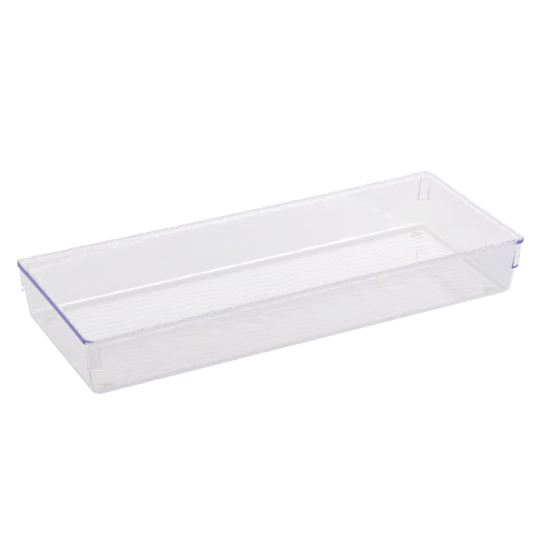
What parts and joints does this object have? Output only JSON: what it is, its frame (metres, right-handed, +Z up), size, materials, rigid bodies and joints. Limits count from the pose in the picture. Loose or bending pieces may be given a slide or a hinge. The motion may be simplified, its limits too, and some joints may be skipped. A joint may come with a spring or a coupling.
{
  "type": "drawer organizer tray",
  "caption": "Long shallow clear plastic drawer organizer tray with drafted walls, an outward rim lip, corner stacking lugs and round anti-slip pads underneath.",
  "frame": {"origin": "centre of the footprint, at the level of the pads' undersides", "axes": "+X along the length, +Y across the width, +Z up out of the open side"},
  "size_m": [0.381, 0.1524, 0.0524],
  "materials": {
    "clear_plastic": "clear moulded polystyrene, polished, with a faint violet tint that shows in the edges",
    "pad_rubber": "satin translucent elastomer, slightly yellowed"
  },
  "bodies": {
    "root": {"tray": "clear_plastic", "pad_front_left": "pad_rubber", "pad_back_left": "pad_rubber", "pad_front_right": "pad_rubber", "pad_back_right": "pad_rubber"}
  },
  "joints": []
}
